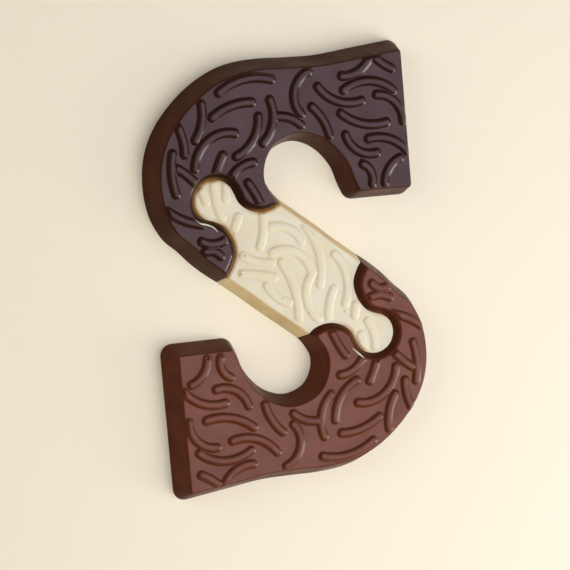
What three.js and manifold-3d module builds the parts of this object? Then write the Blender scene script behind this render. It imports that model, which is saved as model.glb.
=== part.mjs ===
// A chocolate letter S, cast in three flavours that lock together like a jigsaw: a dark upper bowl,
// a white diagonal with a round knob at each end, and a milk lower bowl. Millimetres, Z up: the letter
// lies on its back, X runs to its right and Y to its top. The bowls are the same but for their joints.

import * as THREE from 'three';
import { mergeVertices } from 'three/addons/utils/BufferGeometryUtils.js';
import Module from 'manifold-3d';

// ---- driving sizes

const LETTER_HALF_HEIGHT = 87.5;      // middle to the flared corner of a terminal
const TERMINAL_SIDE = 57.6;           // middle to the upright outer side of a terminal
const THICKNESS = 10.5;               // back to the flat face of the bowls
const WALL_DRAFT = 4.15;              // how far the walls lean out from the face down to the back
const FACE_EDGE = 0.6;                // rounding where the face turns into the wall
const EDGE_TURN = [[0, 1], [0.2, 0.3], [0.7, 0]];       // its shape: shares inwards and below the face
const CORNER_RADIUS = 1.2;            // rounding of the terminals' upright corners, at the face
const WHITE_RECESS = 2.6;             // the white face lies this much below the face of the bowls
const RIM_WIDTH = 3.2;                // sloping rim of the bowls round the white face
const RIM_TAIL_WIDTH = 4.0;           // the same rim where it runs out at the lower neck
const RIM_TAIL_START = 0.82;          // share of the joint's length where it starts to widen
const RIM_SLOPE = [[0, 0], [0.45, 0.6], [1, 1], [1.15, 3]];   // shares of its width and of its height
const JOINT_GAP = 0.3;                // free space in the jigsaw joints

const RIDGE_WIDTH = 3.7;              // raised strokes on the face, measured at their foot
const RIDGE_HEIGHT = 1.2;             // over the face of the bowls
const WHITE_RIDGE_HEIGHT = 0.7;       // over the white face, where the strokes are fainter
const RIDGE_ROOT = 0.5;               // how far a stroke is sunk into the face before it is joined
const RIDGE_STEP = 4.5;               // length of one facet along a stroke
const RIDGE_ARC_SIDES = 4;            // facets over a stroke, from foot to foot
const RIDGE_END_ANGLES = [45, 80];    // degrees round a stroke's round end at which it has a section

const CURVE_STEP = 2.2;               // length of one facet along the outline
const JOINT_STEP = 1.5;               // length of one facet along a joint
const CLEAR = 5;                      // cutters reach this far past what they cut
const FAR = 130;                      // beyond the whole letter
const HALF_TURN = 180;                // degrees

// ---- the outline of the face, one half of it; the other half is the same turned half round

// from the middle of the diagonal's right edge, round the upper bay and down to the terminal's end
const BAY_KNOTS = [
  [12.9, 13.1], [4.5, 19.9], [-1, 24.4], [-5.6, 28.4], [-8.9, 33], [-11.2, 38.1], [-11.3, 43.5],
  [-9.3, 49.3], [-5, 54.4], [1.4, 57.2], [8, 57.7], [14.6, 55.7], [20.2, 52.2], [25.1, 47.1],
  [28.7, 41.3], [30.9, 34.7], [33, 29.7],
];
const TERMINAL_FOOT = [TERMINAL_SIDE, 28.6];
const TERMINAL_TOP = [TERMINAL_SIDE, LETTER_HALF_HEIGHT];

// from the terminal's top corner over the bowl, down its left side and along the diagonal
const BOWL_KNOTS = [
  TERMINAL_TOP, [40, 86.2], [22, 84.8], [8, 85.2], [-6, 86], [-18, 85.4], [-28, 82.6], [-37.5, 77.4],
  [-45.8, 70.6], [-52.6, 62.6], [-57, 53], [-58.4, 42], [-57, 31], [-52.8, 22.3], [-47.1, 16.7],
  [-41.3, 10.4], [-35.1, 5], [-29, 0.4], [-20.8, -6.3], [-12.9, -13.1],
];

// the jigsaw joint between a bowl and the white, from the bay down to the diagonal's left edge:
// a tongue of the bowl, the socket round the white knob, and a second tongue
const JOINT_KNOTS = [
  [-3.6, 28.8], [-7.4, 26.8], [-11.6, 25.9], [-15.6, 26.1], [-19.9, 27.7], [-23.4, 30.8], [-25.2, 34.8],
  [-27, 38.3], [-30.3, 40.9], [-35, 41.9], [-39.4, 40.7], [-42.7, 37.6], [-43.9, 33.2], [-42.7, 28.9],
  [-39.4, 25.8], [-35.2, 24.2], [-31.6, 22.1], [-28.9, 18.4], [-27.2, 14.1], [-26.9, 9.5], [-28.7, 5],
  [-31.4, 0.9],
];
const JOINT_RUNOUT = [6.4, 7.8];      // the cut is carried on this far past both edges of the diagonal
const JOINT_SLIP = [0.5, 0.6];        // both joints lie this much to the right and up of their half turn
const DARK_SIDE = 1;                  // the way of that slip for the dark bowl
const MILK_SIDE = -1;                 // and for the milk bowl, which is made turned half round
const BAY_MOUTH = [32, 12];           // a point in the free space between terminal and diagonal

// ---- raised strokes: middle x, middle y, heading in degrees, length, turn from end to end in degrees

const BOWL_STROKES = [
  [-17, 82.8, 7, 25.5, -53], [-23.9, 72.4, 13, 19.5, -41], [-37.8, 66.9, 74, 15.5, 44],
  [-47.1, 61.7, 102, 14, 33], [-35.9, 59.1, 33, 26.5, -100], [-15.2, 57.1, 53, 20.5, 69],
  [-5.4, 63.4, 75, 19.5, 72], [-31.9, 48.5, 64, 9, -16], [-22, 46.5, 26, 12.5, -57],
  [-46.4, 45.9, -43, 10.5, -15], [-53.2, 47.2, -90, 17, 31], [-16.2, 34.3, -63, 12, -13],
  [5.8, 75.5, -106, 21.5, 115], [2.7, 64.3, -24, 12, -43], [25.6, 68.9, -22, 23, 68],
  [17.9, 62, -61, 15, -37], [37.4, 81, 30, 18.5, 77], [41, 75.9, -6, 25.5, -73],
  [52.7, 65.8, -47, 19, -90], [36.6, 58.1, -16, 23, 52], [33.3, 46.9, -33, 18.5, 85],
  [48.7, 50.2, -22, 20.5, -61], [38.7, 37.2, -67, 10.5, -84], [47.5, 37.9, -130, 13.5, 70],
  [48.6, 82.4, -36, 9, 20], [-49.6, 27.5, -26, 17, 30], [-37.6, 16, -5, 10.5, 56],
  [-37.8, 13, -18, 8, -75],
];

// the white face has its own strokes, not repeated by the half turn
const WHITE_STROKES = [
  [-33.4, 33.8, -82, 15.5, 31], [-28.3, 37, -96, 6.5, 0], [-38.6, 36, -70, 4.5, 0],
  [-24.8, 23.4, -116, 4.5, 0], [-12.9, 18.5, -100, 14, -29], [-1.3, 17.7, -29, 17, -74],
  [1, 7.4, -29, 22, -95], [-17.1, 5.5, -19, 14, 38], [-16.9, -0.1, -14, 15, -11],
  [-9.5, -10.4, -43, 13, 44], [-0.9, -8.3, -77, 26, -36], [4.4, -12.7, -88, 22.5, 96],
  [12.2, 5.3, -80, 27, -54], [24.3, -6.5, -82, 23, -68], [15.1, -16.4, -107, 12, 30],
  [27.1, -21.3, -103, 4.5, -2], [34.8, -32.5, -77, 12, -39], [29.2, -35.6, -78, 6, 0],
];

// ---- colours and finish of the three chocolates

const DARK_CHOCOLATE = { color: 0x33241f, roughness: 0.38, metalness: 0 };
const WHITE_CHOCOLATE = { color: 0xe9dfc2, roughness: 0.45, metalness: 0 };
const MILK_CHOCOLATE = { color: 0x6b4034, roughness: 0.4, metalness: 0 };

// ---- plane curves, as lists of Vector2

const toVector = ([x, y]) => new THREE.Vector2(x, y);
const halfTurn = (points) => points.map((p) => new THREE.Vector2(-p.x, -p.y));

// a smooth curve through the knots, cut into steps of about the same length
function smoothCurve(knots, step) {
  const spline = new THREE.SplineCurve(knots.map(toVector));
  return spline.getSpacedPoints(Math.ceil(spline.getLength() / step));
}

// an upright corner between two points, rounded by a short arc
function roundedCorner(before, corner, after, radius, steps = 3) {
  const inward = before.clone().sub(corner).normalize();
  const onward = after.clone().sub(corner).normalize();
  const halfAngle = inward.angleTo(onward) / 2;
  const reach = radius / Math.tan(halfAngle);
  const start = corner.clone().addScaledVector(inward, reach);
  const end = corner.clone().addScaledVector(onward, reach);
  return new THREE.QuadraticBezierCurve(start, corner, end).getPoints(steps);
}

// the points moved sideways, to the right of the way that they run; widths may differ along the way
function moveSideways(points, closed, distanceAt) {
  const last = points.length - 1;
  return points.map((point, index) => {
    const before = points[index > 0 ? index - 1 : (closed ? last : 0)];
    const after = points[index < last ? index + 1 : (closed ? 0 : last)];
    const along = after.clone().sub(before).normalize();
    const sideways = new THREE.Vector2(along.y, -along.x);
    return point.clone().addScaledVector(sideways, distanceAt(index / last));
  });
}

function letterOutline() {
  const bay = smoothCurve(BAY_KNOTS, CURVE_STEP);
  const bowl = smoothCurve(BOWL_KNOTS, CURVE_STEP);
  const foot = toVector(TERMINAL_FOOT);
  const top = toVector(TERMINAL_TOP);
  const innerCorner = bay.pop();
  bowl.shift();
  const half = [
    ...bay,
    ...roundedCorner(bay[bay.length - 1], innerCorner, foot, CORNER_RADIUS),
    ...roundedCorner(innerCorner, foot, top, CORNER_RADIUS),
    ...roundedCorner(foot, top, bowl[0], CORNER_RADIUS),
    ...bowl.slice(0, -1),
  ];
  return [...half, ...halfTurn(half)];
}

// ---- solids

let wasm;

function solidFromTriangles(positions, triangles) {
  const mesh = new wasm.Mesh({
    numProp: 3,
    vertProperties: new Float32Array(positions),
    triVerts: new Uint32Array(triangles),
  });
  return new wasm.Manifold(mesh);
}

// a solid through outlines of equal count at rising heights, closed by a flat cap at both ends
function loftedSolid(rings) {
  const count = rings[0].points.length;
  const positions = rings.flatMap(({ points, z }) => points.flatMap((p) => [p.x, p.y, z]));
  const triangles = [];
  for (let level = 0; level < rings.length - 1; level += 1) {
    for (let index = 0; index < count; index += 1) {
      const next = (index + 1) % count;
      const low = level * count;
      const high = low + count;
      triangles.push(low + index, low + next, high + next);
      triangles.push(low + index, high + next, high + index);
    }
  }
  const topStart = (rings.length - 1) * count;
  for (const [a, b, c] of THREE.ShapeUtils.triangulateShape(rings[0].points, [])) {
    triangles.push(a, c, b);
  }
  for (const [a, b, c] of THREE.ShapeUtils.triangulateShape(rings[rings.length - 1].points, [])) {
    triangles.push(topStart + a, topStart + b, topStart + c);
  }
  return solidFromTriangles(positions, triangles);
}

const grown = (outline, distance) => moveSideways(outline, true, () => distance);
const draftAt = (z) => WALL_DRAFT * (THICKNESS - z) / THICKNESS;

// the whole letter without its strokes: leaning walls and a softly turned edge round the face
function letterBlank(outline) {
  const edgeRings = EDGE_TURN.map(([inwards, below]) => {
    const z = THICKNESS - FACE_EDGE * below;
    return { points: grown(outline, draftAt(z) - FACE_EDGE * inwards), z };
  });
  return loftedSolid([{ points: grown(outline, WALL_DRAFT), z: 0 }, ...edgeRings]);
}

// a joint line moved sideways and carried on past both edges of the diagonal
function jointLine(distanceAt, side) {
  const slip = toVector(JOINT_SLIP).multiplyScalar(side);
  const middle = smoothCurve(JOINT_KNOTS, JOINT_STEP);
  const line = moveSideways(middle, false, distanceAt).map((point) => point.add(slip));
  const runout = toVector(JOINT_RUNOUT);
  const start = line[0].clone().add(runout);
  const end = line[line.length - 1].clone().sub(runout);
  return [start, ...line, end];
}

// the field between both joint lines; a positive distance makes it wider
function whiteField(distanceAt, side) {
  return [...jointLine(distanceAt, side), ...halfTurn(jointLine(distanceAt, -side))];
}

// everything on a bowl's side of its joint line, down to the open space between the terminals
function bowlField(side) {
  const line = jointLine(() => JOINT_GAP / 2, side).reverse();
  const [end] = line;
  const corners = [BAY_MOUTH, [FAR, BAY_MOUTH[1]], [FAR, FAR], [-FAR, FAR], [-FAR, end.y]];
  return [...corners.map(toVector), ...line];
}

const prism = (points, low, high) => loftedSolid([{ points, z: low }, { points, z: high }]);

// the hollow over the white face: it flares from the joint up to the face of the bowls
function rimCutter(side) {
  const floor = THICKNESS - WHITE_RECESS;
  const rimAt = (t) => {
    const tail = THREE.MathUtils.smoothstep(t, RIM_TAIL_START, 1);
    return THREE.MathUtils.lerp(RIM_WIDTH, RIM_TAIL_WIDTH, tail);
  };
  return loftedSolid(RIM_SLOPE.map(([across, up]) => ({
    points: whiteField((t) => JOINT_GAP / 2 + rimAt(t) * across, side),
    z: floor + WHITE_RECESS * up,
  })));
}

// one raised stroke: a half-round bar along an arc, with round ends, its foot sunk below the face
function strokeSolid([x, y, heading, length, turn], faceHeight, ridgeHeight) {
  const halfWidth = RIDGE_WIDTH / 2;
  const bodySteps = Math.max(1, Math.round(length / RIDGE_STEP));
  const endAngles = RIDGE_END_ANGLES.map(THREE.MathUtils.degToRad);
  const endStations = endAngles.map((angle) => ({
    s: length / 2 + halfWidth * Math.sin(angle),
    scale: Math.cos(angle),
  }));
  const stations = endStations.map(({ s, scale }) => ({ s: -s, scale })).reverse();
  for (let step = 0; step <= bodySteps; step += 1) {
    stations.push({ s: length * (step / bodySteps - 0.5), scale: 1 });
  }
  stations.push(...endStations);
  const turnRate = THREE.MathUtils.degToRad(turn) / length;
  const middleHeading = THREE.MathUtils.degToRad(heading);
  const positions = [];
  const sideCount = RIDGE_ARC_SIDES + 3;
  for (const { s, scale } of stations) {
    const chordHeading = middleHeading + turnRate * s / 2;
    const chord = turn === 0 ? s : 2 * Math.sin(turnRate * s / 2) / turnRate;
    const centreX = x + chord * Math.cos(chordHeading);
    const centreY = y + chord * Math.sin(chordHeading);
    const localHeading = middleHeading + turnRate * s;
    const section = [[halfWidth, -RIDGE_ROOT]];
    for (let side = 0; side <= RIDGE_ARC_SIDES; side += 1) {
      const angle = Math.PI * side / RIDGE_ARC_SIDES;
      section.push([halfWidth * Math.cos(angle), ridgeHeight * Math.sin(angle)]);
    }
    section.push([-halfWidth, -RIDGE_ROOT]);
    for (const [across, up] of section) {
      const reach = across * scale;
      const height = up > 0 ? up * Math.sqrt(scale) : up;
      positions.push(centreX + reach * Math.sin(localHeading));
      positions.push(centreY - reach * Math.cos(localHeading));
      positions.push(faceHeight + height);
    }
  }
  const triangles = [];
  for (let station = 0; station < stations.length - 1; station += 1) {
    for (let side = 0; side < sideCount; side += 1) {
      const next = (side + 1) % sideCount;
      const here = station * sideCount;
      const ahead = here + sideCount;
      triangles.push(here + side, ahead + side, ahead + next);
      triangles.push(here + side, ahead + next, here + next);
    }
  }
  const lastRing = (stations.length - 1) * sideCount;
  for (let side = 1; side < sideCount - 1; side += 1) {
    triangles.push(0, side, side + 1);
    triangles.push(lastRing, lastRing + side + 1, lastRing + side);
  }
  return solidFromTriangles(positions, triangles);
}

const joined = (solids) => solids.reduce((whole, solid) => whole.add(solid));

// the strokes of a face, ended where the face ends
function strokeRelief(strokes, faceHeight, ridgeHeight, outline) {
  const low = faceHeight - RIDGE_ROOT * 2;
  const high = faceHeight + ridgeHeight * 2;
  const faceDraft = draftAt(faceHeight);
  const above = loftedSolid([
    { points: grown(outline, faceDraft), z: low },
    { points: grown(outline, faceDraft - FACE_EDGE), z: high },
  ]);
  const bars = strokes.map((stroke) => strokeSolid(stroke, faceHeight, ridgeHeight));
  return joined(bars).intersect(above);
}

// ---- the three pieces

function bowlSolid(outline, side) {
  const relief = strokeRelief(BOWL_STROKES, THICKNESS, RIDGE_HEIGHT, outline);
  const blank = letterBlank(outline).add(relief);
  const field = prism(bowlField(side), -CLEAR, THICKNESS + CLEAR);
  return blank.intersect(field).subtract(rimCutter(side));
}

function whiteSolid(outline) {
  const faceHeight = THICKNESS - WHITE_RECESS;
  const field = whiteField(() => -JOINT_GAP / 2, DARK_SIDE);
  const slab = letterBlank(outline).intersect(prism(field, -CLEAR, faceHeight));
  const relief = strokeRelief(WHITE_STROKES, faceHeight, WHITE_RIDGE_HEIGHT, outline);
  return slab.add(relief.intersect(prism(field, 0, THICKNESS)));
}

function meshFromSolid(name, solid, finish) {
  const { vertProperties, triVerts, numProp } = solid.getMesh();
  const vertexCount = vertProperties.length / numProp;
  const positions = new Float32Array(vertexCount * 3);
  for (let vertex = 0; vertex < vertexCount; vertex += 1) {
    for (let axis = 0; axis < 3; axis += 1) {
      positions[vertex * 3 + axis] = vertProperties[vertex * numProp + axis];
    }
  }
  const loose = new THREE.BufferGeometry();
  loose.setAttribute('position', new THREE.BufferAttribute(positions, 3));
  loose.setIndex(new THREE.BufferAttribute(new Uint32Array(triVerts), 1));
  const geometry = mergeVertices(loose);
  geometry.computeVertexNormals();
  const mesh = new THREE.Mesh(geometry, new THREE.MeshStandardMaterial(finish));
  mesh.name = name;
  return mesh;
}

async function buildLetter() {
  wasm = await Module();
  wasm.setup();
  const outline = letterOutline();
  const darkBowl = bowlSolid(outline, DARK_SIDE);
  const milkBowl = bowlSolid(outline, MILK_SIDE).rotate([0, 0, HALF_TURN]);
  const group = new THREE.Group();
  group.name = 'chocolate_letter';
  group.add(meshFromSolid('dark_bowl', darkBowl, DARK_CHOCOLATE));
  group.add(meshFromSolid('white_diagonal', whiteSolid(outline), WHITE_CHOCOLATE));
  group.add(meshFromSolid('milk_bowl', milkBowl, MILK_CHOCOLATE));
  return group;
}

const letter = await buildLetter();

export default letter;
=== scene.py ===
# %% [markdown]
# # A chocolate letter S, cast in three flavours
# The real letter comes out of one flat mould. A dark bowl, a white diagonal and a milk bowl are poured one
# after the other and grip each other like pieces of a jigsaw. The mould gives the leaning walls, the flat
# face, the curved raised strokes and the sunken white field, so a lesson about it is a lesson about relief.
# The solid model is loaded first: its top fixes the height of the face.

# %% Load the solid model and keep its box
import math

import bmesh
import bpy
import numpy as np
from mathutils import Matrix, Vector
from mathutils.geometry import delaunay_2d_cdt
from mathutils.kdtree import KDTree


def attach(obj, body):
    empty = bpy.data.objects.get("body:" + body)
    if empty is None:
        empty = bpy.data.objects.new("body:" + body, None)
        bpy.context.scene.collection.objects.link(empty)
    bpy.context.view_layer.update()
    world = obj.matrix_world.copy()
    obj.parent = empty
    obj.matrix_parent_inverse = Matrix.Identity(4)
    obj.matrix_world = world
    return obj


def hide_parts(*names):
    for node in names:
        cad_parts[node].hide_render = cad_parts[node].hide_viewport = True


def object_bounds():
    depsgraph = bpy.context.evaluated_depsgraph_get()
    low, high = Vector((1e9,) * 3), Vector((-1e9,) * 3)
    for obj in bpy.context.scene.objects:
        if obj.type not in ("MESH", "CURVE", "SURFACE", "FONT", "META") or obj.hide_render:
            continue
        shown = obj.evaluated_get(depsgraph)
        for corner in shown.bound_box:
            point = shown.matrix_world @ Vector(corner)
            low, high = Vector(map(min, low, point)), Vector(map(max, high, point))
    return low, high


MM = 0.001                      # the scene is in metres, the mould is drawn in millimetres
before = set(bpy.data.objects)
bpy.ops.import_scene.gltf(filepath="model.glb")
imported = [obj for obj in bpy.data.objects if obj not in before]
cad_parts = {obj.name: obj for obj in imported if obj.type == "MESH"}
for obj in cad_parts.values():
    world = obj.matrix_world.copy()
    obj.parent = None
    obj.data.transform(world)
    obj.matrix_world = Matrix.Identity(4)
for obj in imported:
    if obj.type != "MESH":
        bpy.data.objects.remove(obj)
cad_low, cad_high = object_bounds()
print("solid model, mm:", [round(side / MM, 1) for side in cad_high - cad_low])

# %% [markdown]
# ## The camera
# A photograph's viewpoint can be described by an orbit: a target on the letter, two angles to the camera, a
# little roll and a distance. The long lens keeps the letter's sides nearly parallel. An orbit is easier to
# read and to change than a matrix, so the matrix is worked out from it.

# %% The camera on its orbit
IMAGE_SIDE = 570                # pixels
SENSOR_WIDTH = 36.0             # millimetres, Blender's usual sensor
FOCAL_LENGTH = 2796             # pixels
ORBIT_TARGET = Vector((-6.25, -5.6, 10.5)) * MM
ORBIT_DISTANCE = 1182 * MM
ORBIT_HEADING = math.radians(161.3)
ORBIT_ELEVATION = math.radians(64.05)
CAMERA_ROLL = math.radians(5.04)


def placed(name, data):
    """A new object in the scene."""
    made = bpy.data.objects.new(name, data)
    bpy.context.scene.collection.objects.link(made)
    return made


def make_camera():
    """A camera on the orbit, rolled about its line of sight."""
    level = math.cos(ORBIT_ELEVATION)
    across = level * math.cos(ORBIT_HEADING), level * math.sin(ORBIT_HEADING)
    back = Vector((*across, math.sin(ORBIT_ELEVATION)))
    right = (-back).cross(Vector((0, 1, 0))).normalized()
    down = (-back).cross(right)
    rolled_right = math.cos(CAMERA_ROLL) * right + math.sin(CAMERA_ROLL) * down
    rolled_down = math.cos(CAMERA_ROLL) * down - math.sin(CAMERA_ROLL) * right
    data = bpy.data.cameras.new("letter_camera")
    data.sensor_width = SENSOR_WIDTH
    data.lens = SENSOR_WIDTH * FOCAL_LENGTH / IMAGE_SIDE
    camera = placed("letter_camera", data)
    turn = Matrix((rolled_right, -rolled_down, back)).transposed()
    camera.matrix_world = Matrix.Translation(ORBIT_TARGET + back * ORBIT_DISTANCE) @ turn.to_4x4()
    return camera


camera = make_camera()
bpy.context.scene.camera = camera
print("lens, mm:", round(camera.data.lens, 1))

# %% [markdown]
# ## The mould's sizes
# Everything below follows from a few sizes that a mould maker would put on a drawing. The height of the face
# is read from the solid model, so both models agree.

# %% Driving sizes, in millimetres
STROKE_HEIGHT = 1.2                             # raised strokes over the face of the bowls
WHITE_STROKE_HEIGHT = 0.7                       # they are fainter on the white
FACE = cad_high.z / MM - STROKE_HEIGHT          # back to the flat face of the bowls
LETTER_HALF_HEIGHT = 87.5                       # middle to the flared corner of a terminal
TERMINAL_SIDE = 57.6                            # middle to the upright outer side of a terminal
WALL_DRAFT = 4.15                               # how far the walls lean out from the face to the back
RECESS = 2.6                                    # the white face lies this much lower
WHITE_FACE = FACE - RECESS
STROKE_WIDTH = 3.9                              # before the tree widens its soft foot
RIM_WIDTH = 3.2                                 # sloping rim of the bowls round the white face
RIM_TAIL_WIDTH = 4.0                            # the same rim where it runs out at the lower neck
RIM_TAIL_REACH = 20.0                           # it widens over this distance from that neck
SEAM = 0.06                                     # hair line between two flavours
print("face height, mm:", round(FACE, 2))

# %% [markdown]
# ## Smooth curves through a few knots
# A letter's outline could be a Bezier curve object, but plain points are needed here, because they become
# the border of a fine mesh. A Catmull-Rom spline passes through its knots, so each knot is a real place on
# the letter. The points are then spread evenly along it.

# %% Curve helpers
SPLINE_SAMPLES = 24             # points between two knots before they are spread evenly
EDGE_STEP = 0.8                 # spacing of the border's points, in millimetres
CORNER_STEPS = 8                # steps round a corner


def spread_evenly(points, step):
    """The same line with its points about one step apart."""
    lengths = np.linalg.norm(np.diff(points, axis=0), axis=1)
    reach = np.concatenate([[0], np.cumsum(lengths)])
    marks = np.linspace(0, reach[-1], max(2, round(reach[-1] / step) + 1))
    return np.stack([np.interp(marks, reach, points[:, axis]) for axis in (0, 1)], axis=1)


def smooth_curve(knots, step=EDGE_STEP):
    """A Catmull-Rom curve through the knots."""
    knots = np.array(knots, float)
    padded = np.vstack([knots[:1], knots, knots[-1:]])
    t = np.linspace(0, 1, SPLINE_SAMPLES, endpoint=False)[:, None]
    stretches = []
    for before, start, end, after in zip(padded, padded[1:], padded[2:], padded[3:]):
        leave, arrive = (end - before) / 2, (after - start) / 2
        cubic = 2 * start - 2 * end + leave + arrive
        square = 3 * end - 3 * start - 2 * leave - arrive
        stretches.append(cubic * t ** 3 + square * t ** 2 + leave * t + start)
    return spread_evenly(np.vstack([*stretches, knots[-1:]]), step)


def round_corner(before, corner, after, radius):
    """A short arc in place of a corner."""
    inward = (before - corner) / np.linalg.norm(before - corner)
    onward = (after - corner) / np.linalg.norm(after - corner)
    half_angle = math.acos(float(inward @ onward)) / 2
    start, end = (corner + way * radius / math.tan(half_angle) for way in (inward, onward))
    t = np.linspace(0, 1, CORNER_STEPS + 1)[:, None]
    return (1 - t) ** 2 * start + 2 * t * (1 - t) * corner + t ** 2 * end


def right_hand_side(points, closed):
    """Unit vectors to the right of the way that the line runs."""
    if closed:
        along = np.roll(points, -1, axis=0) - np.roll(points, 1, axis=0)
    else:
        along = np.gradient(points, axis=0)
    along /= np.linalg.norm(along, axis=1)[:, None]
    return np.stack([along[:, 1], -along[:, 0]], axis=1)


# %% [markdown]
# ## The outline of the letter
# An S is the same after half a turn, so only one half is drawn: from the middle of the diagonal round the
# upper bay, along the square terminal and back over the bowl. The other half is the same points turned.

# %% Knots of half the outline
BAY_KNOTS = [
    (12.9, 13.1), (4.5, 19.9), (-1, 24.4), (-5.6, 28.4), (-8.9, 33), (-11.2, 38.1), (-11.3, 43.5),
    (-9.3, 49.3), (-5, 54.4), (1.4, 57.2), (8, 57.7), (14.6, 55.7), (20.2, 52.2), (25.1, 47.1),
    (28.7, 41.3), (30.9, 34.7), (33, 29.7),
]
TERMINAL_FOOT = (TERMINAL_SIDE, 28.6)
TERMINAL_TOP = (TERMINAL_SIDE, LETTER_HALF_HEIGHT)
BOWL_KNOTS = [
    TERMINAL_TOP, (40, 86.2), (22, 84.8), (8, 85.2), (-6, 86), (-18, 85.4), (-28, 82.6), (-37.5, 77.4),
    (-45.8, 70.6), (-52.6, 62.6), (-57, 53), (-58.4, 42), (-57, 31), (-52.8, 22.3), (-47.1, 16.7),
    (-41.3, 10.4), (-35.1, 5), (-29, 0.4), (-20.8, -6.3), (-12.9, -13.1),
]
CORNER_RADIUS = 1.2             # rounding of the terminal's upright corners, at the face
CORNER_SKIP = 3                 # points that a curved side gives up to a corner


def half_outline():
    bay, bowl = smooth_curve(BAY_KNOTS), smooth_curve(BOWL_KNOTS)
    foot, top = np.array(TERMINAL_FOOT), np.array(TERMINAL_TOP)
    corners = [
        round_corner(bay[-CORNER_SKIP - 1], bay[-1], foot, CORNER_RADIUS),
        round_corner(bay[-1], foot, top, CORNER_RADIUS),
        round_corner(foot, top, bowl[CORNER_SKIP + 1], CORNER_RADIUS),
    ]
    sides = [
        spread_evenly(np.array([start[-1], end[0]]), EDGE_STEP)[1:-1]
        for start, end in zip(corners, corners[1:])
    ]
    inner, lower, upper = corners
    bay, bowl = bay[:-CORNER_SKIP], bowl[CORNER_SKIP:]
    return np.vstack([bay, inner, sides[0], lower, sides[1], upper, bowl])


HALF_OUTLINE = half_outline()
print("points on half the outline:", len(HALF_OUTLINE))

# %% [markdown]
# ## The jigsaw joint
# The line between dark and white starts in the bay, runs round a tongue of the dark bowl, a socket for the
# white knob and a second tongue, and leaves at the diagonal's left edge. It is carried on past both edges, so
# that distances to it also hold on the leaning walls.

# %% Knots of the joint
JOINT_KNOTS = [
    (-3.6, 28.8), (-7.4, 26.8), (-11.6, 25.9), (-15.6, 26.1), (-19.9, 27.7), (-23.4, 30.8), (-25.2, 34.8),
    (-27, 38.3), (-30.3, 40.9), (-35, 41.9), (-39.4, 40.7), (-42.7, 37.6), (-43.9, 33.2), (-42.7, 28.9),
    (-39.4, 25.8), (-35.2, 24.2), (-31.6, 22.1), (-28.9, 18.4), (-27.2, 14.1), (-26.9, 9.5), (-28.7, 5),
    (-31.4, 0.9),
]
JOINT_RUNOUT = np.array((6.4, 7.8))     # the joint is carried on by this past both its ends
JOINT_STEP = 0.5
JOINT_SLIP = np.array((0.5, 0.6))   # both joints lie this much to the right and up

MIDDLE_JOINT = smooth_curve(JOINT_KNOTS, JOINT_STEP)
DARK_JOINT = MIDDLE_JOINT + JOINT_SLIP
MILK_JOINT = MIDDLE_JOINT - JOINT_SLIP          # as it looks after half a turn
print("joint, mm long:", round(float(np.linalg.norm(np.diff(DARK_JOINT, axis=0), axis=1).sum()), 1))


def carried_on(joint):
    return np.vstack([joint[0] + JOINT_RUNOUT, joint, joint[-1] - JOINT_RUNOUT])


# %% [markdown]
# ## Borders of the three pieces
# Each border is one loop that keeps the chocolate on its left. Most of it lies on the letter's outline, where
# the wall leans, and the rest lies on a joint, where the wall is upright and hidden. Three numbers go with
# each point: the way out, how much the wall leans there and how round its upper edge is.

# %% Cutting the outline at the joints
FACE_EDGE = 0.8                 # rounding where the face turns into the wall
WHITE_EDGE = 1.0                # the same along the two long edges of the white diagonal
BOWL_SEAM_EDGE = 0.08           # rounding along a seam
WHITE_SEAM_EDGE = 0.25
SEAM_END = 1.5                  # the joint's points nearer than this to the outline are left out
CUT_CLEARANCE = 0.2             # the same for a line's points near a cut, as a share of their spacing


def cross_product(a, b):
    return a[..., 0] * b[..., 1] - a[..., 1] * b[..., 0]


def crossings(outline, line):
    """Where two lines cross, as point numbers with fractions on both, in the order of the second."""
    starts, ways = outline[:-1, None], np.diff(outline, axis=0)[:, None]
    gaps, steps = line[None, :-1] - starts, np.diff(line, axis=0)[None]
    turn = cross_product(ways, steps)
    on_outline, on_line = cross_product(gaps, steps) / turn, cross_product(gaps, ways) / turn
    hit = (on_outline >= 0) & (on_outline < 1) & (on_line >= 0) & (on_line < 1)
    rows, columns = np.nonzero(hit)
    order = np.argsort(columns)
    return (rows + on_outline[hit])[order], (columns + on_line[hit])[order]


def cut_line(points, first, last):
    """The part of a line between two marks."""
    numbers = np.arange(len(points))
    inner = numbers[(numbers > first + CUT_CLEARANCE) & (numbers < last - CUT_CLEARANCE)]
    marks = np.concatenate([[first], inner, [last]])
    return np.stack([np.interp(marks, numbers, points[:, axis]) for axis in (0, 1)], axis=1)


def shifted(joint, distance):
    """A joint moved sideways; a positive distance moves it into the bowl."""
    return joint + right_hand_side(joint, closed=False) * distance


def seam_inside(joint, distance):
    """A shifted joint's points inside the letter, and the outline's marks where it starts and ends."""
    line = carried_on(shifted(joint, distance))
    on_outline, on_line = crossings(HALF_OUTLINE, line)
    seam = cut_line(line, on_line[0], on_line[-1])
    from_ends = np.minimum(np.linalg.norm(seam - seam[0], axis=1), np.linalg.norm(seam - seam[-1], axis=1))
    return seam[from_ends > SEAM_END], on_outline[0], on_outline[-1]


def border(stretches):
    """Joins stretches of (points, ways out, lean, edge radius) into the columns of one loop."""
    points = np.vstack([stretch[0] for stretch in stretches])
    ways = np.vstack([stretch[1] for stretch in stretches])
    lean = np.concatenate([np.full(len(stretch[0]), stretch[2]) for stretch in stretches])
    edge = np.concatenate([np.full(len(stretch[0]), stretch[3]) for stretch in stretches])
    return points, ways, lean, edge


def bowl_border(joint):
    seam, start, end = seam_inside(joint, SEAM / 2)
    wall = cut_line(HALF_OUTLINE, start, end)
    seam = seam[::-1]
    return border([
        (wall, right_hand_side(wall, closed=False), 1.0, FACE_EDGE),
        (seam, right_hand_side(seam, closed=False), 0.0, BOWL_SEAM_EDGE),
    ])


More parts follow.
